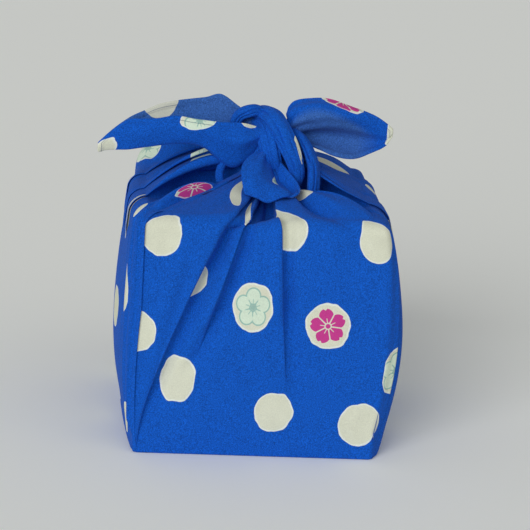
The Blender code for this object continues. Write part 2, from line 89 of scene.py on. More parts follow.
# foot and shoulder place a fold on its face, in millimetres from the face's left corner, and mid and neck
# are its heights over the shoulder on the way to the knot. bend bows it. rise is how far the cloth stands
# out left of it, drop how far it sinks right of it, and start the share of the height where that begins.
# A pleat turns under itself before the next line; an edge is where a panel laps over a panel of its own.
Line = namedtuple("Line", "foot shoulder mid neck fold bend rise drop start", defaults=("", 1, 0, 0, 0))
LINES = {
    "front": (
        Line(0, 0, -2.4, 6.0),
        Line(1.2, 1.8, -2.0, 6.4, "edge", rise=0.7, drop=0.9, start=0.05),
        Line(2.2, 2.9, 4.2, 11.0),
        Line(8, 20, 5.6, 11.0, bend=1.3),
        Line(1.4, 42.6, 4.6, 12.0, "edge", bend=1.4, rise=1.2, drop=4.2),
        Line(4, 44.6, 1.0, 10.5, bend=1.4),
        Line(14.5, 50.6, 3.2, 12.0, "pleat", rise=1.3, drop=3.4, start=0.42),
        Line(16.5, 52.2, -3.6, 8.0),
        Line(50, 59, -7.5, 7.0),
        Line(82, 67.5, -8.0, 8.0, "pleat", bend=0.52, rise=0.5, drop=3.0, start=0.28),
        Line(84, 69.3, 3.6, 11.5, bend=0.52),
        Line(96, 86, 3.4, 9.0),
        Line(104, 100, -2.6, 3.0),
        Line(114, 111, 6.2, 3.0),
    ),
    "right": (
        Line(0, 0, 6.6, 0.0),
        Line(3, 5, 7.0, 0.0, "edge", rise=0.8, drop=1.8),
        Line(5, 7, -3.5, -9.0),
        Line(16, 20, -8.5, -8.0),
        Line(30, 34, -5.0, 0.0, "tuck", rise=-0.8, drop=-1.0, start=0.85),
        Line(32, 36, 8.0, 17.5),
        Line(52, 52, 9.6, 18.5, rise=1.0, drop=0.8, start=0.2),
        Line(84, 76, 9.0, 16.0),
        Line(112, 100, 10.0, 18.0, bend=1.1, rise=1.2, drop=1.4, start=0.1),
    ),
    "back": (
        Line(0, 0, 13.0, 20.0),
        Line(10, 14, 2.0, 8.0),
        Line(30, 38, 8.0, 15.0, rise=1.0, drop=0.8, start=0.3),
        Line(62, 56, 3.0, 8.0),
        Line(117, 76, 8.0, 15.0, "edge", bend=1.35, rise=1.2, drop=1.8),
        Line(118, 78, 5.0, 12.0, bend=1.35),
        Line(119, 102, 4.0, 11.0, bend=1.2),
    ),
    "left": (
        Line(0, 0, 20.0, 22.0),
        Line(12, 16, 9.0, 13.0),
        Line(36, 40, 17.8, 21.0, "pleat", rise=0.6, drop=0.8, start=0.8),
        Line(38, 42, 14.5, 19.0),
        Line(52, 54, 6.0, 10.0),
        Line(68, 70, 17.5, 24.0, "pleat", rise=0.6, drop=0.8, start=0.82),
        Line(70, 72, 14.0, 20.0),
        Line(82, 81, 13.0, 18.0),
        Line(94, 93, 17.0, 19.0, "roll", rise=0.8, drop=1.2, start=0.85),
        Line(96, 95, -5.0, 0.0),
        Line(104, 105, -8.5, -4.0),
        Line(110, 112, 6.5, -2.0, rise=0.6, drop=0.8),
        Line(115, 117, 9.5, -2.0, rise=0.9, drop=0.9),
        Line(120, 121.5, -7.5, -5.0),
    ),
}
# A lapped fold seen end on, from the upper layer round under itself: millimetres across from the fold's
# line, and height as a share of the step down to the layer below. A roll hangs over a deep valley, and a
# tuck is a roll with a thinner lip, seen the other way round.
Turn = namedtuple("Turn", "across height")
LAP = (
    Turn(-0.7, 1.02),
    Turn(-0.25, 1.0),
    Turn(0.1, 0.9),
    Turn(0.25, 0.72),
    Turn(0.15, 0.55),
    Turn(-0.4, 0.46),
    Turn(-2.5, 0.42),
    Turn(-4.2, 0.36),
    Turn(-4.6, 0.2),
    Turn(-4.0, 0.06),
    Turn(-2.0, 0.03),
    Turn(0.4, 0.0),
)
ROLL = (
    Turn(-2.2, 0.99),
    Turn(-0.8, 0.98),
    Turn(0.2, 0.93),
    Turn(0.5, 0.86),
    Turn(0.1, 0.79),
    Turn(-2.6, 0.76),
    Turn(-9.0, 0.74),
    Turn(-15.0, 0.70),
    Turn(-17.0, 0.45),
    Turn(-15.0, 0.20),
    Turn(-8.0, 0.04),
    Turn(0.4, 0.0),
)
TUCK_LIP = 1.7
TUCK = tuple(Turn(-turn.across, (1 - turn.height) ** TUCK_LIP) for turn in reversed(ROLL))
LAPS = {"edge": LAP, "pleat": LAP, "roll": ROLL, "tuck": TUCK}
# Counted along a lap: after LAP_CUT a new panel starts, and from LAP_HIDDEN on it lies out of sight. Over the
# top a lap spreads sideways by LAP_SPREAD, but one that stands upright lies over its hollow the other way.
LAP_CUT = 7
LAP_HIDDEN = 5
LAP_SPREAD = 0.9
UPRIGHT_LAP_SPREAD = -0.9
# How much of a lap's turn under shows on the upright wall.
WALL_REACH = {"edge": 1.0, "pleat": 1.0, "roll": 0.25, "tuck": 0.25}
# What stands for the panel where a lap lies hidden, so that no dot of a layer that shows is drawn on it.
NO_DOTS = 99

# The pull of each upright corner, out of the plain box and up, and the height shares it lies between. The
# first is the left corner of the front, and the others follow it round.
Pull = namedtuple("Pull", "x y lift low high")
PULLS = (
    Pull(-1.5, 0.0, 0.0, 0.05, 0.6),
    Pull(4.2, 0.0, 0.0, 0.12, 0.95),
    Pull(1.5, 1.5, 0.0, 0.1, 0.9),
    Pull(-4.0, 1.0, 8.0, 0.1, 1.1),
)
PULL_REACH = 9.0
PULL_GROWTH = 0.3
LIFT_REACH = 13.0

# Soft creases pressed or pulled into the cloth: ends as face millimetres and height, then depth and width.
Crease = namedtuple("Crease", "along up to_along to_up depth width")
CREASES = {
    "front": (
        Crease(47, 124, 29, 80, -5.0, 3.3),
        Crease(29, 80, 9, 30, -2.4, 3.0),
        Crease(53, 119, 40.5, 76, -2.8, 2.8),
        Crease(40.5, 76, 26, 44, -2.3, 3.0),
        Crease(48, 108, 33, 68, 1.4, 2.4),
        Crease(44, 66, 36, 40, 0.7, 4.0),
        Crease(71.5, 122, 73.5, 66, -2.8, 2.8),
        Crease(60, 130, 62, 84, -0.9, 3.4),
        Crease(74, 80, 81, 34, -1.6, 3.4),
        Crease(84, 132, 100, 80, 0.8, 5.0),
        Crease(92, 134, 112, 104, -1.0, 3.6),
        Crease(22, 112, 8, 60, 0.9, 4.0),
        Crease(24, 92, 10, 40, -0.8, 2.6),
        Crease(36, 44, 74, 20, -0.5, 7.0),
        Crease(76, 60, 110, 38, 0.6, 8.0),
        Crease(52, 30, 64, 12, 0.5, 5.0),
    ),
    "left": (
        Crease(119.9, 164, 120.4, 124, -2.6, 0.5),
        Crease(121.6, 160, 122.2, 124, -2.2, 0.6),
        Crease(112, 132, 111, 18, -1.6, 1.6),
        Crease(118.5, 120, 117, 14, -1.0, 1.4),
        Crease(104, 130, 104, 40, -0.7, 2.0),
        Crease(70, 126, 64, 30, -0.7, 3.0),
        Crease(40, 128, 30, 60, 0.6, 4.0),
    ),
    "right": (
        Crease(22, 128, 14, 30, -0.7, 2.2),
        Crease(60, 126, 66, 40, -0.8, 3.0),
        Crease(90, 126, 100, 56, 0.6, 4.0),
    ),
    "back": (
        Crease(24, 128, 14, 40, -0.7, 3.0),
        Crease(60, 126, 76, 50, 0.6, 4.0),
        Crease(92, 128, 112, 60, -0.8, 3.0),
    ),
}
FOLD_GAP = 0.75
LAP_LEAD = 0.7
COLUMN_STEP = 1.15
WALL_STEP = 1.35
TENT_STEPS = 44
TURN_STEPS = 8
FOOT_STEPS = 4


def smooth(share):
    """0 to 1 with flat ends."""
    share = min(1.0, max(0.0, share))
    return share * share * (3 - 2 * share)


def line_place(line, level):
    """How far along its face a fold lies, at a share of the wall's height."""
    return line.foot + (line.shoulder - line.foot) * level**line.bend


def between(low, high, share):
    """From one height to the next: round over the higher one and sharper in the lower one."""
    if high >= low:
        return low + (high - low) * math.sin(math.pi / 2 * share) ** 1.15
    return high + (low - high) * math.sin(math.pi / 2 * (1 - share)) ** 1.15


def cells(high, wide):
    """The row and the column of each cell of a grid."""
    r, c = np.meshgrid(np.arange(high), np.arange(wide), indexing="ij")
    return r.reshape(-1), c.reshape(-1)


def quads(r, c, beyond, wide):
    """The faces of a grid, from their rows and columns, the column beyond each, and the grid's width."""
    return np.column_stack([r * wide + c, r * wide + beyond, (r + 1) * wide + beyond, (r + 1) * wide + c])


# One column of the mesh: the fold it belongs to and the next one, its share of the way between them or its
# turn of a lap, its panel, and whether the cloth is cut beside it or lies hidden there.
Column = namedtuple("Column", "face line next share lap panel cut hidden")


def wrap_columns():
    """The columns of the mesh, left to right round the walls. A new panel starts after each lapped fold."""
    panel = 0
    for face in FACES:
        lines = LINES[face.name]
        following = LINES[FACES[(FACES.index(face) + 1) % 4].name][0]
        corner = following._replace(foot=face.length, shoulder=face.length)
        for line, beyond in zip(lines, (*lines[1:], corner)):
            if line.fold:
                for k, turn in enumerate(LAPS[line.fold]):
                    panel += k == LAP_CUT + 1
                    cut = line.fold == "edge" and k == LAP_CUT
                    hidden = LAP_HIDDEN <= k < len(LAPS[line.fold]) - 1
                    yield Column(face, line, beyond, k / len(LAPS[line.fold]), turn, panel, cut, hidden)
                continue
            wide = max(beyond.foot - line.foot, beyond.shoulder - line.shoulder)
            count = max(2, math.ceil(wide / COLUMN_STEP))
            for step in range(count):
                yield Column(face, line, beyond, step / count, None, panel, False, False)


def line_slope(line):
    """How far a fold runs along the face for each millimetre up, at the top of the wall."""
    return (line.shoulder - line.foot) * line.bend / HEIGHT


def fold_grown(line, level):
    """0 where a fold hasn't begun, up to 1 where it is full."""
    grown = smooth(3 * (level - line.start) / (1 - line.start) + 0.15) if level > line.start else 0.0
    return max(grown, 0.2) if line.fold == "edge" else grown


def along_at(column, level):
    """How far along its face a column lies: evenly between two folds, or in the turns of a growing lap."""
    start, end = line_place(column.line, level), line_place(column.next, level)
    if column.lap is None:
        stop = end - FOLD_GAP if column.next.fold else end
        return start + (stop - start) * column.share
    grown = smooth(2.2 * fold_grown(column.line, level))
    even = start - LAP_LEAD + (end - start + LAP_LEAD) * column.share
    return even + (start + column.lap.across * WALL_REACH[column.line.fold] - even) * grown


def fold_relief(column, along, level):
    """How far the folds lift the cloth off the plain wall."""
    out = 0.0
    here = column.face.start + along
    for face in FACES:
        for line in LINES[face.name]:
            if not (line.rise or line.drop) or level <= line.start and line.fold != "edge":
                continue
            grown = fold_grown(line, level)
            step = line.drop * STEP_SHARE
            if column.line is line and column.lap is not None:
                out += grown * (column.lap.height * (line.rise + step) - step)
                continue
            away = here - face.start - line_place(line, level)
            away = (away + ROUND / 2) % ROUND - ROUND / 2
            if abs(away) > FOLD_FAR:
                continue
            if line.fold:
                right = 1.0 if away > 0 else 0.0
            else:
                right = 0.5 + 0.5 * math.tanh(away / 1.6)
            hollow = STEP_SHARE + (1 - STEP_SHARE) * (1 - math.exp(-abs(away) / HOLLOW_START))
            out += grown * line.rise * math.exp(-abs(away) / RISE_REACH) * (1 - right)
            out -= grown * line.drop * hollow * math.exp(-abs(away) / DROP_REACH) * right
    return out


def crease_relief(face, along, up):
    """Soft troughs and ridges, each fading toward its ends."""
    out = 0.0
    for crease in CREASES[face.name]:
        run = Vector((crease.to_along - crease.along, crease.to_up - crease.up))
        at = Vector((along - crease.along, up - crease.up))
        share = at.dot(run) / run.length_squared
        if not -0.3 < share < 1.3:
            continue
        bow = 1.6 * noise.noise(Vector((share * 2.2, crease.depth * 7, crease.along)))
        side = (at.x * run.y - at.y * run.x) / run.length + bow
        taper = smooth((share + 0.25) / 0.35) * smooth((1.25 - share) / 0.6)
        out += crease.depth * taper * math.exp(-((side / crease.width) ** 2))
    return out


def wrinkles(u, v, near_knot):
    """Small unevenness of a soft cotton, drawn out toward the knot."""
    broad = noise.noise(Vector((u / 26, v / 44, 3.1))) * 0.5
    middle = noise.noise(Vector((u / 8.5, v / 26, 9.4))) * (0.16 + 0.35 * near_knot)
    fine = noise.noise(Vector((u / 3.4, v / 17, 5.2))) * (0.05 + 0.3 * near_knot)
    return broad + middle + fine


def puff_out(face, along, level):
    """How far the loose cloth of a face stands off the plain box."""
    puff = PUFFS[face.name]
    share = min(1.0, max(0.0, along / face.length))
    if not 0 < share < 1:
        return 0.0
    shape = share ** (math.log(0.5) / math.log(puff.place))
    swell = math.sin(math.pi * shape) ** 0.85 * smooth(min(along, face.length - along) / CALM_EDGE)
    upright = math.sin(math.pi * level**0.8) ** 0.8 if 0 < level < 1 else 0.0
    ends = max(puff.foot * (1 - smooth(6 * level)), puff.shoulder * smooth(2 * level - 0.5))
    return puff.depth * swell * (upright + (1 - upright) * ends)


def wall_spot(column, level):
    """The plan of a wall point, the way its surface faces, and its place along the face."""
    face = column.face
    along = along_at(column, level)
    foot = FOOT_ROUND * (1 - math.sqrt(1 - (1 - min(1.0, level * HEIGHT / FOOT_ROUND)) ** 2))
    edge = max(0.0, min(along, face.length - along))
    turn = math.pi / 4 * max(0.0, 1 - edge / UPRIGHT_ROUND)
    shift = UPRIGHT_ROUND * (1 - math.sin(turn)) - edge if turn > 0 else 0.0
    left = along < face.length / 2
    place = along + foot * (1 - 2 * along / face.length) + (shift if left else -shift)
    run, outward = Vector(face.along), Vector(face.outward)
    facing = (outward - run * math.tan(turn) * (1 if left else -1)).normalized()
    plan = Vector(face.corner) + run * place
    plan += outward * (puff_out(face, place, level) - UPRIGHT_ROUND * (1 - math.cos(turn)) - foot)
    corner = (FACES.index(face) + (0 if left else 1)) % 4
    pull = PULLS[corner]
    if pull.low < level < pull.high:
        if pull.high <= 1:
            strength = math.sin(math.pi * (level - pull.low) / (pull.high - pull.low)) ** 0.8
        else:
            strength = smooth((level - pull.low) / PULL_GROWTH)
        plan += Vector((pull.x, pull.y)) * strength * math.exp(-((edge / PULL_REACH) ** 2))
    return plan, facing, along


def corner_lift(face, along):
    """How far the top of the wall stands higher near an upright corner."""
    left = along < face.length / 2
    pull = PULLS[(FACES.index(face) + (0 if left else 1)) % 4]
    return pull.lift * math.exp(-((min(along, face.length - along) / LIFT_REACH) ** 2))


def gather(line, share):
    """A fold's height over the shoulder, at a share of the way in to the neck."""
    return share * (4 * line.mid - line.neck) + share * share * (2 * line.neck - 4 * line.mid)


def wrap_rows():
    """The rows of the mesh, from the middle of the foot up to the neck."""
    rows = [("under", share) for share in (0.04, 0.2, 0.36, 0.52, 0.68, 0.84, 0.95)]
    rows += [("wall", FOOT_ROUND / HEIGHT * (step / FOOT_STEPS) ** 1.6) for step in range(FOOT_STEPS + 1)]
    count = math.ceil(UNDER_TURN * HEIGHT / WALL_STEP)
    first = FOOT_ROUND / HEIGHT
    rows += [("wall", first + (UNDER_TURN - first) * step / count) for step in range(1, count + 1)]
    rows += [("turn", step / TURN_STEPS) for step in range(1, TURN_STEPS + 1)]
    rows += [("tent", step / TENT_STEPS) for step in range(1, TENT_STEPS + 1)]
    rows += [("neck", share) for share in (0.4, 1.0)]
    return rows


# A column's way from the shoulder in to the neck: where it leaves the wall and joins the neck, how far its
# folds stand out there, and how it is carried sideways.
Way = namedtuple("Way", "along lift run outward drift slope rim neck")


def way_in(column):
    """The way in of one column."""
    face = column.face
    shoulder, facing, along = wall_spot(column, 1)
    outward, run = Vector(face.outward), Vector(face.along)
    drift = 1 - 2 * along / face.length
    slope = line_slope(column.line)
    slope += (line_slope(column.next) - slope) * column.share
    rim = shoulder - outward * SHOULDER_ROUND + run * (SHOULDER_ROUND * drift + TURN_RUN * slope)
    angle = math.radians(-135 + 90 * (FACES.index(face) + along / face.length))
    neck = NECK_LEAN + Vector((NECK_HALF_WIDTH * math.cos(angle), NECK_HALF_DEPTH * math.sin(angle)))
    return Way(along, fold_relief(column, along, 1), run, outward, drift, slope, rim, neck)


def wall_point(column, level):
    """A point of the upright wall, and its place on the flat cloth."""
    face = column.face
    plan, facing, along = wall_spot(column, level)
    up = level * HEIGHT
    calm = smooth(up / CALM_FOOT)
    out = fold_relief(column, along, level) * calm
    out += calm * (crease_relief(face, along, up) + wrinkles(face.start + along, up, 0.0))
    return (*(plan + facing * out), up), (face.start + along, up)


def turn_point(column, way, share):
    """A point where the cloth turns over the cube's upper edge, and its place on the flat cloth."""
    face = column.face
    tilt = math.pi / 2 * share
    inward = 1 - math.cos(tilt)
    level = UNDER_TURN + (1 - UNDER_TURN) * math.sin(tilt)
    plan, facing, along = wall_spot(column, level)
    inset = way.outward * SHOULDER_ROUND * inward
    plan += way.run * inward * (SHOULDER_ROUND * way.drift + TURN_RUN * way.slope) - inset
    turn_height = HEIGHT * (1 - UNDER_TURN)
    height = UNDER_TURN * HEIGHT + (turn_height + corner_lift(face, along)) * math.sin(tilt)
    up = UNDER_TURN * HEIGHT + TURN_FLAT * share
    out = fold_relief(column, along, level) + crease_relief(face, along, up)
    out += wrinkles(face.start + along, up, 0.1 * share)
    return (*(plan + facing * out * math.cos(tilt)), height + out * math.sin(tilt)), (face.start + along, up)


def tent_point(column, way, share):
    """A point of the cloth drawn in over the top to the neck, and its place on the flat cloth."""
    face = column.face
    u = face.start + way.along
    up = UNDER_TURN * HEIGHT + TURN_FLAT + TENT_RUN * share
    sway = SWAY * noise.noise(Vector((u / 30, share * 1.6, 21.0))) * math.sin(math.pi * share)
    plan = way.rim.lerp(way.neck, share) + way.run * sway * (1 - 0.7 * share)
    high, low = gather(column.line, share), gather(column.next, share)
    if column.lap is None:
        mid = between(column.line.mid, column.next.mid, column.share)
        top = between(column.line.neck, column.next.neck, column.share)
        height = gather(column.line._replace(mid=mid, neck=top), share)
    else:
        height = low + (high - low) * column.lap.height
        aside = (way.neck - way.rim).normalized().orthogonal() * column.lap.across
        aside *= math.copysign(1, aside.dot(way.run) * column.lap.across)
        if column.line.fold == "pleat" and high < low:
            plan += aside * (UPRIGHT_LAP_SPREAD * smooth(5 * share))
        else:
            plan += aside * (LAP_SPREAD * smooth(1.6 * share))
    height += corner_lift(face, way.along) * (1 - share) ** 2
    calm = 1 - smooth(share * 2.2)
    out = way.lift * calm + crease_relief(face, way.along, up) + wrinkles(u, up, smooth(share * 1.3))
    return (*plan, HEIGHT + height + out), (u, up)


def neck_point(column, way, share, base):
    """A point inside the neck, under the knot, and its place on the flat cloth."""
    plan = NECK_LEAN.lerp(way.neck, 1 - 0.5 * share)
    up = UNDER_TURN * HEIGHT + TURN_FLAT + TENT_RUN + NECK_FLAT * share
    return (*plan, base + (NECK_TOP - base) * share), (column.face.start + way.along, up)


def wrap_grid():
    """The cloth's points in millimetres and their places on the flat cloth, by row and column."""
    columns = list(wrap_columns())
    rows = wrap_rows()
    points = np.zeros((len(rows), len(columns), 3))
    flat = np.zeros((len(rows), len(columns), 2))
    for c, column in enumerate(columns):
        way = way_in(column)
        foot = wall_spot(column, 0)[0]
        for r, (zone, share) in enumerate(rows):
            if zone == "under":
                points[r, c] = (*(foot * share), 0)
            elif zone == "wall":
                points[r, c], flat[r, c] = wall_point(column, share)
            elif zone == "turn":
                points[r, c], flat[r, c] = turn_point(column, way, share)
            elif zone == "tent":
                points[r, c], flat[r, c] = tent_point(column, way, share)
                base = points[r, c, 2]
            else:
                points[r, c], flat[r, c] = neck_point(column, way, share, base)
    return points, flat, columns, rows


# Printed dots. along and up are the middle on a face, wide and tall the half sizes, turn in degrees,
# and kind plain, plum or cherry. panel keeps a dot on one layer where two lie on each other.
Dot = namedtuple("Dot", "along up wide tall turn kind panel", defaults=(0, "plain", None))
DOTS = {
    "front": (
        Dot(10.3, 112.3, 9.8, 10.4, 0, "plain", 1),
        Dot(30.5, 151, 3.8, 19.0, 30, "plain", 1),
        Dot(26, 91, 7.4, 9.6, 0, "plain", 2),
        Dot(47.0, 135, 2.0, 16.5, 11, "plain", 2),
        Dot(0.5, 63, 9.3, 10.5, 0, "plain", 1),
        Dot(21.1, 38.9, 8.6, 12.0, -8),
        Dot(55.8, 77.7, 9.8, 12.6, 0, "plum", 3),
        Dot(93, 69.5, 10.9, 12.0, 12, "cherry"),
        Dot(68.7, 24.2, 9.6, 10.4),
        Dot(111.2, 18.7, 9.8, 11.4),
        Dot(70, 122.0, 10.4, 16.6, 14, "plain", 4),
        Dot(114, 113.0, 8.0, 11.0),
        Dot(107, 163, 5.0, 7.5, 30),
    ),
    "right": (
        Dot(4.5, 46, 6.2, 12.5, 0, "plum", 4),
        Dot(103.5, 145, 6.5, 16.0, -4),
        Dot(78, 120.8, 7.0, 2.0, 11),
        Dot(64, 88, 10.0, 10.5, 0, "cherry"),
        Dot(96, 56, 10.0, 10.5),
        Dot(40, 104, 9.5, 10.5),
        Dot(52, 22, 10.0, 10.5),
        Dot(112, 16, 10.0, 10.5, 0, "plum"),
    ),
    "left": (
        Dot(118.35, 147.5, 1.05, 10.5, 0, "cherry"),
        Dot(73.5, 156.5, 7.5, 6.5, 0, "plum"),
        Dot(4, 124.5, 8.5, 7.0, 0, "plum"),
        Dot(109.3, 120.5, 1.4, 3.8),
        Dot(90.8, 113, 2.2, 12.5),
        Dot(107.6, 80, 2.6, 12.0),
        Dot(82, 63, 9.0, 10.5),
        Dot(111, 14, 3.0, 8.0),
        Dot(50, 98, 10.0, 10.5),
        Dot(40, 44, 10.0, 10.5, 0, "cherry"),
        Dot(72, 20, 10.0, 10.5),
        Dot(14, 76, 10.0, 10.5),
        Dot(8, 18, 10.0, 10.5, 0, "plum"),
    ),
}
KINDS = {"plain": 0.0, "plum": 1.0, "cherry": 2.0}
STREWN_KINDS = ("plain", "plain", "cherry", "plain", "plum")

# The same dots on the flat cloth of any piece: u and v are the middle there, in millimetres.
Spot = namedtuple("Spot", "u v wide tall turn kind panel", defaults=(0, "plain", None))
# A flower is drawn out upward in a tall dot, and narrowed where the cloth is gathered.
FLOWER_REACH = 12.0
GATHERED_SHARE = 0.6
DRAWN_SHARE = 0.93
DRAWN_MOST = 1.2
# What stands for outside any dot, and for far from any hem.
OUTSIDE = 9.0
FAR_FROM_HEM = 50.0


def strewn(face, along_count, up_count, low, high, seed):
    """More dots of the same print, set out in offset rows and each a little off its place."""
    length = next(f.length for f in FACES if f.name == face)
    for row in range(up_count):
        for k in range(along_count):
            shift = 0.5 if row % 2 else 0.0
            spot = Vector((k, row, seed))
            along = length * (k + 0.25 + shift) / along_count + 5 * noise.noise(spot * 1.37)
            up = low + (high - low) * row / max(1, up_count - 1)
            up += 5 * noise.noise(spot * 1.91 + Vector((5, 1, 2)))
            wide = 9.6 + 0.8 * noise.noise(spot * 3.3)
            kind = STREWN_KINDS[(k * 2 + row * 3 + seed) % len(STREWN_KINDS)]
            yield Dot(along, up, wide, 10.4, 40 * noise.noise(spot), kind)


def nearest_dot(flat_middle, dots):
    """For each face's middle on the flat cloth: which dot it lies in or beside, or -1."""
    best = np.full(len(flat_middle), 1e9)
    chosen = np.full(len(flat_middle), -1)
    for i, dot in enumerate(dots):
        away = (flat_middle[:, 0] - dot.u) ** 2 / dot.wide**2 + (flat_middle[:, 1] - dot.v) ** 2 / dot.tall**2
        on_layer = flat_middle[:, 2] != NO_DOTS if dot.panel is None else flat_middle[:, 2] == dot.panel
        away = np.where(on_layer, away, 1e9)
        nearer = away < best
        best[nearer] = away[nearer]
        chosen[nearer] = i
    return np.where(best < OUTSIDE, chosen, -1)


def cloth_object(name, points, faces, flat, note, dots):
    """A smooth-shaded piece of the cloth. flat and note are given for each corner of each face: flat is
    the place on the uncut cloth in millimetres, and note is panel, distance from a hem, and reverse side."""
    mesh = bpy.data.meshes.new(name)
    mesh.from_pydata(points.reshape(-1, 3) * MM, [], faces.tolist())
    corners = faces.size
    flat = flat.reshape(corners, 2)
    note = note.reshape(corners, 3)
    layer = mesh.uv_layers.new(name="flat_cloth")
    layer.data.foreach_set("uv", (flat * MM).reshape(-1))
    middle = flat.reshape(len(faces), -1, 2).mean(axis=1)
    panel = note.reshape(len(faces), -1, 3)[:, 0, 0]
    chosen = np.repeat(nearest_dot(np.column_stack([middle, panel]), dots), faces.shape[1])
    place = np.full((corners, 3), OUTSIDE)
    flower = np.full((corners, 3), OUTSIDE)
    facts = np.column_stack([np.zeros(corners), note[:, 1:]])
    for i, dot in enumerate(dots):
        mine = chosen == i
        if not mine.any():
            continue
        turn = math.radians(dot.turn)
        u, v = flat[mine, 0] - dot.u, flat[mine, 1] - dot.v
        x = u * math.cos(turn) + v * math.sin(turn)
        y = v * math.cos(turn) - u * math.sin(turn)
        place[mine] = np.column_stack([x / dot.wide, y / dot.tall, np.full(mine.sum(), 1.7 * i)])
        gathered = max(1.0, GATHERED_SHARE * dot.tall / dot.wide)
        drawn_out = min(DRAWN_MOST, max(1.0, DRAWN_SHARE * dot.tall / dot.wide))
        flower[mine] = np.column_stack([x * gathered, y / drawn_out, np.zeros(mine.sum())]) / FLOWER_REACH
        facts[mine, 0] = KINDS[dot.kind]
    for label, values in (("dot_place", place), ("flower_place", flower), ("cloth_note", facts)):
        attribute = mesh.attributes.new(label, "FLOAT_VECTOR", "CORNER")
        attribute.data.foreach_set("vector", values.reshape(-1))
    mesh.shade_smooth()
    made = bpy.data.objects.new(name, mesh)
    bpy.context.scene.collection.objects.link(made)
    mesh.materials.append(printed_cotton())
    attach(made, "root")
    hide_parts("furoshiki_cloth")
    return made


class Value:
    """A value on its way through the cotton's shader. Arithmetic on it adds the Math nodes."""

    def __init__(self, tree, socket):
        self.tree = tree
        self.socket = socket

    def made(self, kind, settings=(), output=0, **inputs):
        """Another node: its type, its settings, and what goes into its sockets."""
        node = self.tree.nodes.new(kind)
        for key, value in dict(settings).items():
            setattr(node, key, value)
        for key, value in inputs.items():
            socket = node.inputs[int(key[1:])] if key[1:].isdigit() else node.inputs[key.replace("_", " ")]
            if isinstance(value, Value):
                self.tree.links.new(value.socket, socket)
            else:
                socket.default_value = value
        return Value(self.tree, node.outputs[output])

    def math(self, operation, *others):
        """A Math node on the value and the others."""
        inputs = {f"i{k}": value for k, value in enumerate((self, *others))}
        return self.made("ShaderNodeMath", {"operation": operation}, **inputs)

    def __add__(self, other):
        return self.math("ADD", other)

    def __sub__(self, other):
        return self.math("SUBTRACT", other)

    def __rsub__(self, other):
        return self.made("ShaderNodeMath", {"operation": "SUBTRACT"}, i0=other, i1=self)

    def __mul__(self, other):
        return self.math("MULTIPLY", other)

    def __truediv__(self, other):
        return self.math("DIVIDE", other)

    __radd__ = __add__
    __rmul__ = __mul__

    def below(self, limit, soft):
        """1 where the value is under the limit, 0 over it, with a soft edge."""
        edges = {"i1": limit - soft, "i2": limit + soft, "i3": 1.0, "i4": 0.0}
        return self.made("ShaderNodeMapRange", {"interpolation_type": "SMOOTHSTEP"}, i0=self, **edges)

    def mixed(self, low, high):
        """A colour between two, by this value."""
        return self.made("ShaderNodeMix", {"data_type": "RGBA"}, output=2, i0=self, i6=low, i7=high)


BLUE = (0.0045, 0.092, 0.500, 1)
BLUE_REVERSE = (0.038, 0.126, 0.420, 1)
IVORY = (0.685, 0.700, 0.560, 1)
IVORY_REVERSE = (0.650, 0.665, 0.570, 1)
BARE_RIM = (0.800, 0.860, 0.830, 1)
PETAL_GREEN = (0.640, 0.800, 0.650, 1)
TURQUOISE = (0.200, 0.440, 0.400, 1)
MAGENTA = (0.560, 0.030, 0.260, 1)
THREAD_BLUE = (0.02, 0.05, 0.16, 1)
# Shares of FLOWER_REACH: how far out a petal's middle lies, and its half sizes.
PETALS = 5
PLUM_MIDDLE = 0.40
PLUM_ROUND = 0.285
CHERRY_MIDDLE = 0.43
CHERRY_LONG = 0.315
CHERRY_WIDE = 0.30
STITCH_FROM_HEM = 2.3
WEAVE_PITCH = 0.00052


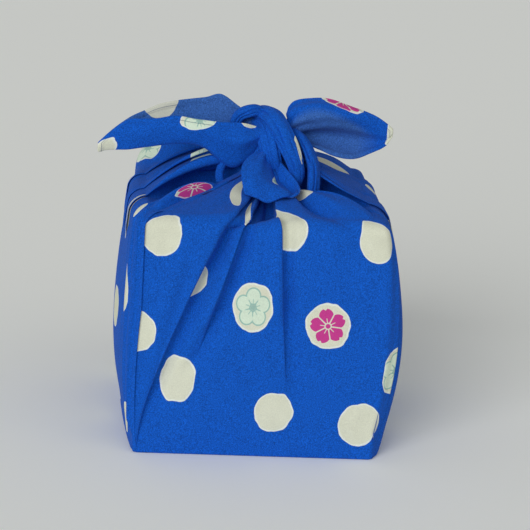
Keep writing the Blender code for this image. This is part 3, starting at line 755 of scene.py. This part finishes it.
def printed_cotton():
    """Plain-woven cotton, printed blue all over but for dots with hand-cut outlines, some with a flower."""
    known = bpy.data.materials.get("dotted_cotton")
    if known:
        return known
    material = bpy.data.materials.new("dotted_cotton")
    material.use_nodes = True
    tree = material.node_tree
    shader = tree.nodes["Principled BSDF"]
    start = Value(tree, None)
    place = start.made("ShaderNodeAttribute", {"attribute_name": "dot_place"}, output=1)
    note = start.made("ShaderNodeAttribute", {"attribute_name": "cloth_note"}, output=1)
    x, y = (start.made("ShaderNodeSeparateXYZ", i0=place, output=k) for k in (0, 1))
    kind, hem, reverse = (start.made("ShaderNodeSeparateXYZ", i0=note, output=k) for k in (0, 1, 2))
    flat = start.made("ShaderNodeUVMap", {"uv_map": "flat_cloth"})
    u, v = (start.made("ShaderNodeSeparateXYZ", i0=flat, output=k) for k in (0, 1))

    radius = (x * x + y * y).math("SQRT")
    cut = start.made("ShaderNodeTexNoise", i0=place, i2=1.5, i3=1.5, i4=0.45)
    reach_out = radius + (cut - 0.5) * 0.24
    dot = reach_out.below(1.0, 0.012)
    rim = dot * (1 - reach_out.below(0.93, 0.02))

    flower = start.made("ShaderNodeAttribute", {"attribute_name": "flower_place"}, output=1)
    across, up = (start.made("ShaderNodeSeparateXYZ", i0=flower, output=k) for k in (0, 1))
    radius = (across * across + up * up).math("SQRT")
    sector = up.math("ARCTAN2", across) * (PETALS / (2 * math.pi)) + 0.25
    swing = (sector - sector.math("FLOOR") - 0.5) * (2 * math.pi / PETALS)
    reach = radius * swing.math("COSINE")
    aside = (radius * swing.math("SINE")).math("ABSOLUTE")
    seam = radius * (math.pi / PETALS - swing.math("ABSOLUTE")).math("SINE")
    inner = radius.below(0.32, 0.05)

    plum_reach = (reach - PLUM_MIDDLE) * (reach - PLUM_MIDDLE)
    plum_petal = (plum_reach + aside * aside).math("SQRT")
    plum_line = (plum_petal - PLUM_ROUND).math("ABSOLUTE").below(0.026, 0.014)
    plum_ray = aside.below(0.014, 0.010) * reach.below(0.30, 0.02)
    plum_seam = seam.below(0.020, 0.012) * inner
    plum_heart = radius.below(0.10, 0.03)
    plum_ink = plum_line.math("MAXIMUM", plum_ray).math("MAXIMUM", plum_seam).math("MAXIMUM", plum_heart)
    plum_fill = plum_petal.below(PLUM_ROUND, 0.01)

    cherry_reach = (reach - CHERRY_MIDDLE) / CHERRY_LONG
    cherry_round = (cherry_reach * cherry_reach + aside * aside * (1 / CHERRY_WIDE**2)).math("SQRT")
    cherry_petal = cherry_round.below(1.0, 0.03)
    notch = (reach - aside * 0.9).below(0.665, 0.015)
    gap = 1 - seam.below(0.026, 0.010)
    ray = 1 - aside.below(0.016, 0.010) * reach.below(0.33, 0.02)
    cherry_ink = cherry_petal * notch * gap * ray * (1 - radius.below(0.15, 0.01))
    cherry_ink = cherry_ink.math("MAXIMUM", radius.below(0.10, 0.012))

    is_plum = (kind - KINDS["plum"]).math("ABSOLUTE").below(0.5, 0.01)
    is_cherry = (kind - KINDS["cherry"]).math("ABSOLUTE").below(0.5, 0.01)
    spot = start.made("ShaderNodeTexCoord", output=3)
    thin = start.made("ShaderNodeTexNoise", i0=spot, i2=150.0, i3=2.0, i4=0.5)
    print_colour = reverse.mixed(IVORY, IVORY_REVERSE)
    print_colour = (is_plum * plum_fill * 0.75).mixed(print_colour, PETAL_GREEN)
    print_colour = (is_plum * plum_ink * (0.75 - reverse * 0.4)).mixed(print_colour, TURQUOISE)
    print_colour = (is_cherry * cherry_ink * (0.97 - reverse * 0.45)).mixed(print_colour, MAGENTA)
    ground = reverse.mixed(BLUE, BLUE_REVERSE)
    print_colour = (rim * (0.6 - reverse * 0.6)).mixed(print_colour, BARE_RIM)
    colour = dot.mixed(ground, print_colour)

    stitch = (hem - STITCH_FROM_HEM).math("ABSOLUTE").below(0.16, 0.10)
    colour = (stitch * (0.15 + dot * 0.45)).mixed(colour, THREAD_BLUE)

    threads = start.made("ShaderNodeTexNoise", i0=spot, i2=1700.0, i3=2.0, i4=0.8)
    warp = (u * (2 * math.pi / WEAVE_PITCH)).math("SINE")
    weft = (v * (2 * math.pi / WEAVE_PITCH)).math("SINE")
    weave = warp * weft
    grain = (threads - 0.5) * (2.4 - dot * 2.0)
    shade = 1.0 + grain + weave * 0.08 + (thin - 0.5) * 0.14
    grey = start.made("ShaderNodeCombineXYZ", i0=shade, i1=shade, i2=shade)
    colour = start.made("ShaderNodeVectorMath", {"operation": "MULTIPLY"}, i0=colour, i1=grey)
    tree.links.new(colour.socket, shader.inputs["Base Color"])

    height = weave * 0.5 + threads * 0.9 - stitch * 2.0
    bump = start.made("ShaderNodeBump", Strength=0.55, Distance=0.00012, Height=height)
    tree.links.new(bump.socket, shader.inputs["Normal"])
    roughness = 0.86 + threads * 0.08 - dot * 0.03
    tree.links.new(roughness.socket, shader.inputs["Roughness"])
    shader.inputs["Specular IOR Level"].default_value = 0.12
    shader.inputs["Sheen Weight"].default_value = 0.03
    shader.inputs["Sheen Roughness"].default_value = 0.5
    return material


FOOT_AT = 1000
FootDot = namedtuple("FootDot", "x y kind")
FOOT_DOTS = (
    FootDot(-38, -34, "plain"),
    FootDot(6, -40, "cherry"),
    FootDot(42, -22, "plain"),
    FootDot(-20, 4, "plain"),
    FootDot(22, 12, "plum"),
    FootDot(-44, 38, "plum"),
    FootDot(-2, 44, "plain"),
    FootDot(40, 46, "plain"),
)


def wrap_dots():
    """The dots of the four faces, on the flat cloth round the walls, and of the foot, well away from them."""
    starts = {face.name: face.start for face in FACES}
    for name, dots in (*DOTS.items(), ("back", strewn("back", 3, 4, 18, 150, 7))):
        for dot in dots:
            yield Spot(starts[name] + dot.along, dot.up, dot.wide, dot.tall, dot.turn, dot.kind, dot.panel)
    for dot in FOOT_DOTS:
        yield Spot(FOOT_AT + dot.x, dot.y, 9.8, 10.2, 30 * dot.x, dot.kind)


def wrap():
    """The cloth from the foot up to the neck, cut where a panel laps over a panel of its own."""
    grid, flat, columns, rows = wrap_grid()
    cut = np.array([column.cut for column in columns])
    high, wide = grid.shape[:2]
    first = [r for r, (zone, share) in enumerate(rows) if zone == "wall"][0]
    r, c = cells(high - 1, wide)
    whole = ~(cut[c] & (r >= first))
    r, c = r[whole], c[whole]
    beyond = (c + 1) % wide
    faces = quads(r, c, beyond, wide)
    spread = flat.reshape(-1, 2)[faces]
    last = beyond == 0
    spread[last, 1, 0] += ROUND
    spread[last, 2, 0] += ROUND
    under = r < first
    plan = grid.reshape(-1, 3)[faces][:, :, :2]
    spread[under] = plan[under] + np.array([FOOT_AT, 0.0])
    note = np.zeros((len(faces), 4, 3))
    note[:, :, 0] = np.array([column.panel for column in columns])[beyond][:, None]
    note[under, :, 0] = -1
    level = np.array([{"under": 0.0, "wall": share}.get(zone, 1.0) for zone, share in rows])
    begun = np.array([column.line.start + 0.1 if column.hidden else math.inf for column in columns])
    note[level[r] > begun[beyond], :, 0] = NO_DOTS
    note[:, :, 1] = FAR_FROM_HEM
    return cloth_object("wrapped_cloth", grid, faces, spread, note, list(wrap_dots()))


body = wrap()

# ---- The knot ----------------------------------------------------------------------------------
# The corners of the square, tied twice over: flat bands of gathered cotton that cross on the neck.
# They are the same cloth, pulled tight, so each carries fine folds along its length.

Section = namedtuple("Section", "x y z half_width half_thick")
KNOT_CORE = Vector((6, -3, 143))
BANDS = {
    "slanting_band": (
        Section(-3, 9, 151, 4.6, 3.3),
        Section(-2, 5, 160, 5.0, 3.4),
        Section(3.0, -3, 161.0, 5.2, 3.6),
        Section(7.0, -10, 157.0, 5.4, 3.6),
        Section(11.5, -14.5, 149.5, 5.4, 3.6),
        Section(15.5, -17, 141.0, 4.6, 3.4),
        Section(17.5, -16, 132.0, 3.4, 3.0),
        Section(15, -8, 125, 3.4, 2.8),
    ),
    "inner_band": (
        Section(-3, 1, 157, 4.6, 3.0),
        Section(0.5, -8, 154, 5.2, 3.2),
        Section(2.5, -13, 148, 5.2, 3.4),
        Section(4.5, -14, 140, 5.0, 3.4),
        Section(7, -9, 130, 4.4, 3.0),
    ),
    "top_band": (
        Section(-15, -1, 150, 3.4, 3.0),
        Section(-13, -2, 159, 3.4, 3.0),
        Section(-8, -3, 162.5, 3.4, 3.2),
        Section(-3, -1, 162, 3.6, 3.2),
        Section(1, -1, 157, 3.6, 3.0),
        Section(0, -3, 150, 3.2, 2.8),
    ),
    "side_band": (
        Section(12, 1, 153, 2.6, 2.4),
        Section(18, -5, 151, 3.4, 2.6),
        Section(22.5, -9, 145.5, 5.0, 2.8),
        Section(25.4, -12.5, 138.5, 6.0, 2.8),
        Section(26.0, -16, 131.5, 6.2, 2.8),
        Section(25.6, -19, 124, 5.8, 2.6),
    ),
    "back_band": (
        Section(-12, -2, 141, 4.4, 3.2),
        Section(-8, 8, 146, 5.4, 3.6),
        Section(2, 14, 146, 5.8, 3.6),
        Section(13, 11, 142, 5.4, 3.6),
        Section(20, 1, 138, 4.4, 3.2),
    ),
    "neck_roll": (
        Section(-11, -6, 142, 3.2, 2.4),
        Section(-17.5, -9, 139.5, 2.6, 2.2),
        Section(-21.0, -12, 135, 2.2, 2.0),
        Section(-21.5, -14.5, 130, 2.0, 2.0),
        Section(-19.5, -16, 125, 2.0, 1.8),
    ),
}
BAND_LONG = 90
BAND_AROUND = 120
BAND_CREASES = 9
BAND_CREASE_DEPTH = 0.34
BAND_CREASE_WIDTH = 0.13
BAND_FLAT = 32
BAND_DOTS = {
    "slanting_band": (Spot(44, 4.6, 7.0, 1.6, 10),),
    "inner_band": (),
    "top_band": (),
    "side_band": (Spot(5, 22.0, 5.0, 2.4),),
    "back_band": (Spot(20, 6, 8.0, 6.0),),
    "neck_roll": (),
}


def spline(points, share):
    """A point on the smooth curve through the points, at a share of 0 to 1 of the way."""
    last = len(points) - 1
    place = min(1.0, max(0.0, share)) * last
    i = min(int(place), last - 1)
    t = place - i
    before, after = points[max(i - 1, 0)], points[min(i + 2, last)]
    here, there = points[i], points[i + 1]
    return 0.5 * (
        2 * here
        + (there - before) * t
        + (2 * before - 5 * here + 4 * there - after) * t * t
        + (3 * here - before - 3 * there + after) * t * t * t
    )


def band_fold(angle, along, seed):
    """The gathers that run along a band: rounded ridges with sharp creases between, which come and go."""
    drift = 0.35 * noise.noise(Vector((along / 13, seed, 0.3)))
    swell = 0.05 * noise.noise(Vector((math.cos(angle) * 1.8, math.sin(angle) * 1.8, along / 14 + seed)))
    for k in range(BAND_CREASES):
        jitter = 0.30 * noise.noise(Vector((k * 3.7, seed, 8.0)))
        at = seed + 2 * math.pi * (k + jitter) / BAND_CREASES + drift * (1 if k % 2 else -0.6)
        away = abs((angle - at + math.pi) % (2 * math.pi) - math.pi)
        strength = smooth(0.62 + 1.1 * noise.noise(Vector((along / 11, k * 2.3, seed))))
        swell -= BAND_CREASE_DEPTH * strength * math.exp(-away / BAND_CREASE_WIDTH)
    return 1.08 + swell


def band(name, sections, seed):
    """A flat band of gathered cloth through its sections, its broad side turned out from the knot."""
    middles = [Vector((s.x, s.y, s.z)) for s in sections]
    sizes = [Vector((s.half_width, s.half_thick, 0)) for s in sections]
    grid = np.zeros((BAND_LONG + 1, BAND_AROUND, 3))
    flat = np.zeros((BAND_LONG + 1, BAND_AROUND + 1, 2))
    length = 0.0
    before = middles[0]
    for step in range(BAND_LONG + 1):
        share = step / BAND_LONG
        middle = spline(middles, share)
        length += (middle - before).length
        before = middle
        forward = (spline(middles, share + 0.02) - spline(middles, share - 0.02)).normalized()
        outward = middle - KNOT_CORE
        outward = (outward - forward * outward.dot(forward)).normalized()
        side = outward.cross(forward)
        size = spline(sizes, share)
        for k in range(BAND_AROUND + 1):
            angle = 2 * math.pi * k / BAND_AROUND
            flat[step, k] = (length, k * BAND_FLAT / BAND_AROUND)
            if k == BAND_AROUND:
                continue
            swell = band_fold(angle, length, seed)
            across = side * size.x * math.cos(angle) + outward * size.y * math.sin(angle)
            grid[step, k] = middle + across * swell
    r, c = cells(BAND_LONG, BAND_AROUND)
    faces = quads(r, c, (c + 1) % BAND_AROUND, BAND_AROUND)
    spread = np.stack([flat[r, c], flat[r, c + 1], flat[r + 1, c + 1], flat[r + 1, c]], axis=1)
    note = np.zeros((len(faces), 4, 3))
    note[:, :, 1] = FAR_FROM_HEM
    return cloth_object(name, grid, faces, spread, note, BAND_DOTS[name])


bands = [band(name, sections, 0.9 + 1.7 * k) for k, (name, sections) in enumerate(BANDS.items())]

# ---- The ears and the tails --------------------------------------------------------------------
# The four corners of the square where they leave the knot: cupped and rolled by the pull of it, with
# the duller reverse of the print inside. Their narrow hems are turned twice and machine stitched.

EarRib = namedtuple("EarRib", "front_hem front_middle bottom_fold back_middle back_hem")
LEFT_EAR = (
    EarRib((-1.2, -8, 155), (-1.1, -11, 152), (-2.7, -8, 146), (-4.3, -3, 152), (-4, -1, 158)),
    EarRib((-10, -12, 158), (-9.7, -15, 149), (-9.5, -10, 139), (-8.8, -2, 151), (-8, 2, 160.5)),
    EarRib((-16.6, -13, 158.5), (-16.2, -15.5, 148), (-15.4, -11, 136), (-14.4, -1, 151), (-14.3, 3, 165)),
    EarRib((-22.6, -14, 158.7), (-22.3, -16.2, 149.5), (-22.2, -12, 140), (-22.2, 0, 155), (-22.1, 4, 169.5)),
    EarRib((-29.2, -14.5, 159.3), (-29, -16.5, 153), (-28.9, -12, 145), (-28.9, 0, 157), (-29.6, 4, 167.6)),
    EarRib((-36.2, -14.5, 160), (-36, -16.5, 154), (-36.1, -12, 147), (-37.5, -1, 157), (-37.7, 3, 166.5)),
    EarRib((-44.7, -14, 161), (-44.4, -16, 154), (-44.5, -12, 146.6), (-45.1, -2, 157), (-45.2, 1, 165.6)),
    EarRib((-53.5, -13.5, 159.2), (-53.3, -15.5, 152.7), (-53.5, -12, 145), (-53.6, -4, 155),
           (-53.2, -1, 163.9)),
    EarRib((-60.5, -12.5, 158.5), (-60.7, -14.5, 151.6), (-60.9, -11.5, 143.7), (-61, -6, 152),
           (-60, -3, 161)),
    EarRib((-68.4, -12, 157.5), (-68.6, -13.4, 151), (-68.8, -11.5, 142.4), (-68.8, -8, 149),
           (-68, -6, 157.3)),
    EarRib((-76.2, -11.5, 151.7), (-76.2, -12.5, 147), (-76.3, -11, 141.6), (-76.3, -9, 146),
           (-76.3, -7.5, 151)),
    EarRib((-82.7, -11, 145.2), (-82.9, -11.5, 143.3), (-83, -11, 141), (-83, -9.5, 142.3), (-83, -9, 144.3)),
)
WideRib = namedtuple("WideRib", "rim upper crease lower hem")
RIGHT_EAR = (
    WideRib((12, 4, 161), (12, -1, 158), (13, -2, 152), (14, 1, 148), (15, 4, 145)),
    WideRib((16, 5, 167), (16, -3, 162), (18, -2, 155), (19, 5, 149.5), (22, 0, 146)),
    WideRib((26, 5, 169), (25, -5, 165), (26, -3, 157), (28, 6, 150.5), (29, -2, 144)),
    WideRib((35, 4, 168.8), (35, -4.5, 165), (35, -3, 158), (36, 6, 150), (37, -3, 141)),
    WideRib((46, 2, 165.5), (46, -3.5, 163), (46, -1, 156), (46, 5, 148.5), (46, -3, 140.3)),
    WideRib((56, 0, 162.8), (56, -1.5, 159.5), (56, 0, 154), (56, 3, 148.5), (55, -2, 143.5)),
    WideRib((63, -1, 158.8), (63, -1.4, 156.5), (63, -1, 153), (63, 0, 150), (62, -2, 147)),
    WideRib((65.8, -2, 156.5), (66, -2, 155.6), (66, -2, 154.6), (65.8, -2, 153.4), (65, -2, 152.2)),
)
TailRib = namedtuple("TailRib", "hem face middle edge floor lobe rim")
FRONT_TAIL = (
    TailRib((0, -11, 146), (0.6, -12, 145.4), (1.2, -12.5, 144.6), (1.8, -12, 143.4), (2.6, -10.5, 141.4),
            (3.4, -9.5, 142.4), (4.2, -9, 143)),
    TailRib((-7.1, -20, 143.5), (-4, -21.5, 142.4), (-0.4, -22, 140.6), (2.8, -20.5, 137.4), (4.7, -16, 134),
            (6.6, -14.6, 138), (8.3, -13.5, 140.4)),
    TailRib((-11, -26, 140), (-7.2, -28.6, 138.2), (-1.6, -29, 136.2), (4.2, -27.5, 132.6), (7.7, -21, 129.4),
            (11, -19.5, 134), (13, -18.5, 136)),
    TailRib((-11.4, -31, 135.6), (-7.2, -33.6, 134), (-0.6, -34, 132), (8.3, -33, 131), (12.4, -27, 127.6),
            (15.5, -25, 130.4), (16.8, -24, 132.2)),
    TailRib((-10.5, -35, 130.3), (-5.6, -37.6, 129.2), (1.3, -38, 128), (10.5, -36.4, 129.6),
            (14.6, -32, 127), (17.1, -29.4, 129), (17.5, -28.4, 130.4)),
    TailRib((-9.7, -37, 127.7), (-4, -38.8, 126.4), (1.4, -40, 124.6), (8.4, -38.8, 127), (13.7, -36, 127.4),
            (16.8, -34, 128.2), (17.2, -32.4, 129)),
)
FlapRib = namedtuple("FlapRib", "left middle right")
BACK_TAIL = (
    FlapRib((-2, 10, 147), (3, 12, 149), (8, 10, 147)),
    FlapRib((-8, 18, 146), (3, 20, 149), (13, 17, 145)),
    FlapRib((-12, 28, 141), (2, 30, 144), (16, 27, 140)),
    FlapRib((-9, 38, 135), (2, 39, 138), (13, 37, 135)),
    FlapRib((-3, 46, 131), (2, 47, 132), (7, 45, 131)),
    FlapRib((1, 50, 129), (2, 50, 129.2), (3, 50, 129)),
)
CLOTH_THICK = 0.8
HEM_THICK = 1.5
HEM_WIDE = 3.4
LEAF_LONG = 110
LEAF_ACROSS = 84
LEAF_DOTS = {
    "left_ear": (
        Spot(34, 0.5, 10.5, 4.6, 15, "plum"),
        Spot(54, 41, 10, 10),
        Spot(6.5, -0.3, 3.4, 2.1),
        Spot(89, 9, 13, 8),
        Spot(40, 22, 7, 6),
    ),
    "right_ear": (
        Spot(29, -1, 11, 7.5, 0, "cherry"),
        Spot(62, 3, 9, 14),
    ),
    "front_tail": (Spot(17, 21, 5, 3.2, 0, "plum"),),
    "back_tail": (Spot(24, 12, 9, 10),),
}
# How much of the sheet's back shows the duller reverse of the print: up to run_end from the knot, and from
# side_start inward.
Reverse = namedtuple("Reverse", "run_end side_start")
REVERSES = {
    "left_ear": Reverse(200, -10),
    "right_ear": Reverse(50, 9),
    "front_tail": Reverse(200, -10),
    "back_tail": Reverse(200, -10),
}


def leaf(name, rows, seed, root_folds):
    """An ear or tail: a thin sheet through the rows of points, thicker at its hems, gathered at its root."""
    curves = [[Vector(point) for point in row] for row in rows]
    across = [[spline(curve, c / LEAF_ACROSS) for c in range(LEAF_ACROSS + 1)] for curve in curves]
    tall, wide = LEAF_LONG + 1, LEAF_ACROSS + 1
    grid = np.array(
        [[spline([row[c] for row in across], r / LEAF_LONG) for c in range(wide)] for r in range(tall)]
    ).reshape(tall, wide, 3)
    down = np.gradient(grid, axis=0)
    over = np.gradient(grid, axis=1)
    normal = np.cross(down, over)
    normal /= np.linalg.norm(normal, axis=2, keepdims=True) + 1e-9
    run = np.cumsum(np.linalg.norm(np.diff(grid, axis=0, prepend=grid[:1]), axis=2), axis=0).mean(axis=1)
    side = np.cumsum(np.linalg.norm(np.diff(grid, axis=1, prepend=grid[:, :1]), axis=2), axis=1)
    lift = np.zeros((tall, wide))
    for r in range(tall):
        near = math.exp(-run[r] / 16)
        for c in range(wide):
            share = c / LEAF_ACROSS
            folds = math.sin(2 * math.pi * share * root_folds + seed + run[r] / 30) * near * 1.1
            soft = 0.5 * noise.noise(Vector((run[r] / 15, side[r, c] / 9, seed)))
            fine = 0.16 * noise.noise(Vector((run[r] / 9, side[r, c] / 2.8, seed + 4))) * (0.4 + near)
            lift[r, c] = (folds + soft + fine) * smooth(r / 8)
    grid = grid + normal * lift[:, :, None]
    to_hem = np.minimum(side, side[:, -1:] - side)
    to_hem = np.minimum(to_hem, (run[-1] - run)[:, None])
    thick = CLOTH_THICK + (HEM_THICK - CLOTH_THICK) * np.clip((HEM_WIDE - to_hem) / 0.5, 0, 1)
    thick *= np.sqrt(np.clip(to_hem / 0.5, 0.1, 1))
    front = grid + normal * thick[:, :, None] / 2
    back = grid - normal * thick[:, :, None] / 2
    flat = np.dstack([np.repeat(run[:, None], wide, axis=1), side])
    r, c = cells(tall - 1, wide - 1)
    a = r * wide + c
    ahead = np.column_stack([a, a + wide, a + wide + 1, a + 1])
    behind = np.column_stack([a, a + 1, a + wide + 1, a + wide]) + tall * wide
    rim = list(range(wide))
    rim += [r * wide + wide - 1 for r in range(1, tall)]
    rim += [(tall - 1) * wide + wide - 1 - c for c in range(1, wide)]
    rim += [(tall - 1 - r) * wide for r in range(1, tall - 1)]
    here = np.array(rim)
    there = np.roll(here, -1)
    edge = np.column_stack([here, there, there + tall * wide, here + tall * wide])
    faces = np.vstack([ahead, behind, edge])
    spread = np.vstack([flat.reshape(-1, 2), flat.reshape(-1, 2)])[faces]
    note = np.zeros((len(faces), 4, 3))
    note[:, :, 1] = np.concatenate([to_hem.reshape(-1), to_hem.reshape(-1)])[faces]
    reverse = REVERSES[name]
    worn = np.clip((reverse.run_end - flat[:, :, 0]) / 12, 0, 1)
    worn = worn * np.clip((side - reverse.side_start) / 4, 0, 1)
    worn = np.concatenate([worn.reshape(-1), worn.reshape(-1)])[faces]
    back_faces = slice(len(ahead), 2 * len(ahead))
    note[back_faces, :, 2] = worn[back_faces]
    points = np.vstack([front.reshape(-1, 3), back.reshape(-1, 3)])
    return cloth_object(name, points, faces, spread, note, LEAF_DOTS[name])


leaves = [
    leaf("left_ear", LEFT_EAR, 2.1, 4),
    leaf("right_ear", RIGHT_EAR, 5.3, 5),
    leaf("front_tail", FRONT_TAIL, 8.8, 3),
    leaf("back_tail", BACK_TAIL, 1.4, 3),
]

# ---- Where it stands ---------------------------------------------------------------------------
# A pale seamless table of matt painted board, which isn't a part of the wrap. Soft daylight falls on
# it from the left and above, and the room's walls fill in the shadows.

TABLE_PALE = (0.985, 0.995, 0.945, 1)
bpy.ops.mesh.primitive_plane_add(size=12)
table = bpy.context.object
table.name = "table"
surface = bpy.data.materials.new("pale_table")
surface.use_nodes = True
paint = surface.node_tree.nodes["Principled BSDF"].inputs
paint["Base Color"].default_value = TABLE_PALE
paint["Roughness"].default_value = 0.9
paint["Specular IOR Level"].default_value = 0.1
table.data.materials.append(surface)

Lamp = namedtuple("Lamp", "name kind turn rise spread power")
for lamp in (Lamp("window", "SUN", -30, 21, 40, 1.75), Lamp("fill", "SUN", 40, 35, 60, 0.25)):
    light = bpy.data.lights.new(lamp.name, lamp.kind)
    light.angle = math.radians(lamp.spread)
    light.energy = lamp.power
    placed = bpy.data.objects.new(lamp.name, light)
    placed.rotation_euler = (math.radians(90 - lamp.rise), 0, math.radians(lamp.turn))
    bpy.context.scene.collection.objects.link(placed)
world = bpy.data.worlds.new("soft_room")
world.use_nodes = True
world.node_tree.nodes["Background"].inputs["Color"].default_value = (0.96, 0.98, 1.0, 1)
world.node_tree.nodes["Background"].inputs["Strength"].default_value = 0.34
bpy.context.scene.world = world

VIEW_PLACE = (-0.06142, -0.93878, 0.3469)
VIEW_TURN = 4.04
VIEW_DIP = 15.74
VIEW_ROLL = 3.3
lens = bpy.data.cameras.new("view")
lens.lens = 128.4
lens.sensor_width = 36
camera = bpy.data.objects.new("view", lens)
bpy.context.scene.collection.objects.link(camera)
camera.matrix_world = (
    Matrix.Translation(VIEW_PLACE)
    @ Matrix.Rotation(math.radians(-VIEW_TURN), 4, "Z")
    @ Matrix.Rotation(math.radians(90 - VIEW_DIP), 4, "X")
    @ Matrix.Rotation(math.radians(VIEW_ROLL), 4, "Z")
)
bpy.context.scene.camera = camera
bpy.context.scene.view_settings.view_transform = "Standard"
bpy.context.view_layer.update()
